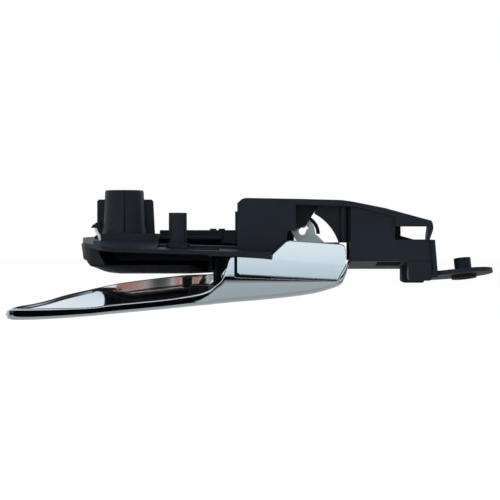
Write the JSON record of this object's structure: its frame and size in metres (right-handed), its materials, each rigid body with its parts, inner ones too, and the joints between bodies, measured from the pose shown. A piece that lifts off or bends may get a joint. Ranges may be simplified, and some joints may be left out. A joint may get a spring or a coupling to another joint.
{
  "type": "car interior door handle",
  "caption": "Car interior door handle: a chromed pull lever on a pivot pin in a black moulded carrier, with a finger bezel, a steel cable arm and a fixing ear.",
  "frame": {"origin": "on the axis of the large screw boss, level with the carrier's deck", "axes": "+X along the handle from the lever's tip to the fixing ear, +Z along the screw boss into the door, Y along the pivot pin"},
  "size_m": [0.2186, 0.044, 0.0582],
  "materials": {
    "black_moulding": "fine moulded grain",
    "chrome_plating": "mirror bright plating",
    "black_insert": "smooth moulded",
    "zinc_plated_steel": "satin zinc plate",
    "black_rubber": "matte rubber",
    "bright_steel": "turned",
    "spring_steel": "drawn wire",
    "natural_acetal": "natural moulded"
  },
  "bodies": {
    "carrier": {"carrier": "black_moulding", "bezel": "black_moulding", "pivot_bushes": "natural_acetal", "stop_pad": "black_rubber", "panel_clip": "zinc_plated_steel", "trim_clip": "black_insert", "clip_buffer": "black_rubber", "ear_collar": "black_rubber"},
    "lever": {"lever": "chrome_plating", "lever_core": "black_insert", "cable_arm": "zinc_plated_steel", "arm_bumper": "black_rubber", "arm_rivets": "bright_steel", "pivot_pin": "bright_steel", "pin_clip": "spring_steel", "return_spring": "spring_steel"}
  },
  "joints": [
    {"name": "lever_pivot", "type": "hinge", "parent": "carrier", "child": "lever", "pos_m": [0.0745, 0, -0.011], "axis": [0, -1, 0], "range_deg": [0, 20], "stiffness_Nm_per_rad": 0.5, "springref_deg": -28.65}
  ]
}
